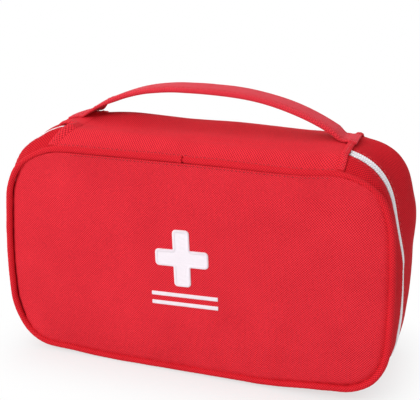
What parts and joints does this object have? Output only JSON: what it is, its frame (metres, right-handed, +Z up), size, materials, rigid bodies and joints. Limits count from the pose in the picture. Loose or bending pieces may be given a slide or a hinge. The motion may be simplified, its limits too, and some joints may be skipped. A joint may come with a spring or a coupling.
{
  "type": "first aid bag",
  "caption": "Soft red zip bag for first aid supplies, with piped edges, a lid hinged at the top front seam, a coil zip round sides and foot, and a strap handle.",
  "frame": {"origin": "middle of the bag's foot, on the surface that it stands on", "axes": "+X along the bag's width, to the right seen from the lid; +Y from the lid to the back; +Z up"},
  "size_m": [0.2387, 0.0823, 0.1619],
  "materials": {
    "red_cloth": "plain Oxford weave, coated behind",
    "red_piping": "same cloth sewn round a cord",
    "red_trim": "folded cloth",
    "handle_webbing": "cloth sleeve, topstitched",
    "handle_filling": "foam strip",
    "foam": "closed-cell foam",
    "lining": "plain nylon",
    "binding_tape": "ribbed tape",
    "elastic": "knitted elastic",
    "mesh": "open net",
    "zip_tape": "woven tape",
    "zip_coil": "nylon coil",
    "white_thread": "satin stitch",
    "slider_metal": "white lacquer"
  },
  "bodies": {
    "base": {"rear_panel": "red_cloth", "rear_gusset": "red_cloth", "rear_piping": "red_piping", "rear_foam": "foam", "rear_lining": "lining", "rear_gusset_lining": "lining", "rear_binding": "binding_tape", "spine_panel": "red_cloth", "spine_lining": "lining", "elastic_loops": "elastic", "zip_tape_rear": "zip_tape", "zip_coil_rear": "zip_coil", "zip_tab_left": "red_trim", "zip_tab_right": "red_trim", "handle_end_left": "handle_webbing", "handle_end_right": "handle_webbing"},
    "lid": {"front_panel": "red_cloth", "front_gusset": "red_cloth", "front_piping": "red_piping", "front_foam": "foam", "front_lining": "lining", "front_gusset_lining": "lining", "front_binding": "binding_tape", "zip_tape_front": "zip_tape", "zip_coil_front": "zip_coil", "mesh_pocket": "mesh", "mesh_pocket_hem": "red_trim", "embroidered_cross": "white_thread", "embroidered_lines": "white_thread"},
    "slider": {"zip_slider": "slider_metal"},
    "pull": {"zip_pull": "slider_metal"},
    "handle": {"handle_sleeve": "handle_webbing", "handle_core": "handle_filling"}
  },
  "joints": [
    {"name": "lid_hinge", "type": "hinge", "parent": "base", "child": "lid", "pos_m": [0, -0.036, 0.1312], "axis": [-1, 0, 0], "range_deg": [0, 170]},
    {"name": "zip_slider_run", "type": "slide", "parent": "base", "child": "slider", "axis": [0, 0, 1], "range_m": [-0.012, 0.009]},
    {"name": "pull_swing", "type": "hinge", "parent": "slider", "child": "pull", "pos_m": [-0.11968, -0.018, 0.05233], "axis": [0, 1, 0], "range_deg": [0, 170]},
    {"name": "handle_swing", "type": "hinge", "parent": "base", "child": "handle", "pos_m": [0, 0.005, 0.14997], "axis": [1, 0, 0], "range_deg": [-30, 30], "stiffness_Nm_per_rad": 0.05}
  ]
}
